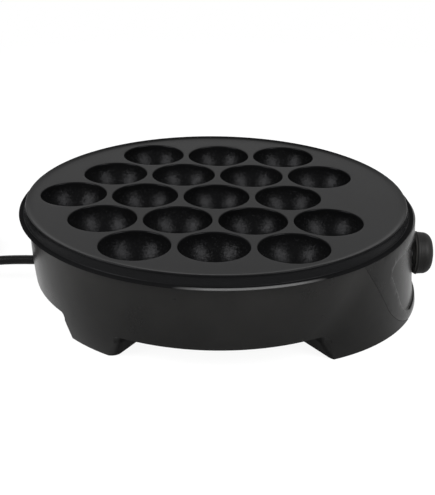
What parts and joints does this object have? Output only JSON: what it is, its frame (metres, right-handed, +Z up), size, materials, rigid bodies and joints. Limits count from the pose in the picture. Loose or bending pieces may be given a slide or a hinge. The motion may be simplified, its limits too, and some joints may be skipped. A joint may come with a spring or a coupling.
{
  "type": "takoyaki maker",
  "caption": "Round electric takoyaki maker: cast plate with hemispherical cups on a moulded body, with a thermostat knob on one side and a mains cord.",
  "frame": {"origin": "middle of the object's footprint on the table, cord left out", "axes": "+Z up; +X towards the thermostat knob, the cord leaves towards -X; the object is symmetrical about the XZ plane in its main forms"},
  "size_m": [0.4602, 0.2378, 0.0617],
  "materials": {
    "plate_coating": "dark non-stick coating on a casting, satin",
    "body_plastic": "moulded, satin black",
    "panel_plastic": "moulded, dark warm grey",
    "knob_plastic": "moulded, black",
    "cover_plastic": "moulded, black",
    "screw_steel": "zinc-plated",
    "pad_rubber": "moulded",
    "element_sheath": "annealed sheath, dull",
    "seal_silicone": "pale silicone",
    "pin_steel": "plated",
    "sheet_steel": "pressed sheet",
    "shield_aluminium": "pressed sheet",
    "ceramic": "pale ceramic body",
    "brass_nut": "turned",
    "shaft_steel": "turned",
    "spring_steel": "leaf",
    "cord_rubber": "matt black sheath",
    "lead_sleeve": "woven glass sleeve",
    "blade_brass": "plated"
  },
  "bodies": {
    "base": {"takoyaki_plate": "plate_coating", "body_shell": "body_plastic", "control_panel": "panel_plastic", "base_cover": "cover_plastic", "base_screws": "screw_steel", "foot_pads": "pad_rubber", "heating_element": "element_sheath", "element_seals": "seal_silicone", "element_pins": "pin_steel", "element_clamps": "sheet_steel", "clamp_screws": "screw_steel", "heat_shield": "shield_aluminium", "shield_screws": "screw_steel", "plate_screws": "screw_steel", "thermostat_bracket": "sheet_steel", "thermostat_screws": "screw_steel", "thermostat_body": "ceramic", "thermostat_nut": "brass_nut", "thermal_fuse": "pin_steel", "fuse_strap": "sheet_steel", "fuse_screw": "screw_steel", "cord_grommet": "knob_plastic", "cord_clamp": "sheet_steel", "cord_clamp_screws": "screw_steel", "lead_live": "lead_sleeve", "lead_heater": "lead_sleeve", "lead_neutral": "lead_sleeve", "power_cord": "cord_rubber", "cord_coil": "cord_rubber", "cord_tail": "cord_rubber", "plug_body": "cord_rubber", "plug_blades": "blade_brass"},
    "control": {"control_knob": "knob_plastic", "thermostat_shaft": "shaft_steel", "knob_spring": "spring_steel"}
  },
  "joints": [
    {"name": "knob_turn", "type": "hinge", "parent": "base", "child": "control", "pos_m": [0.11565, 0, 0.0253], "axis": [1, 0, 0], "range_deg": [-270, 0]}
  ]
}
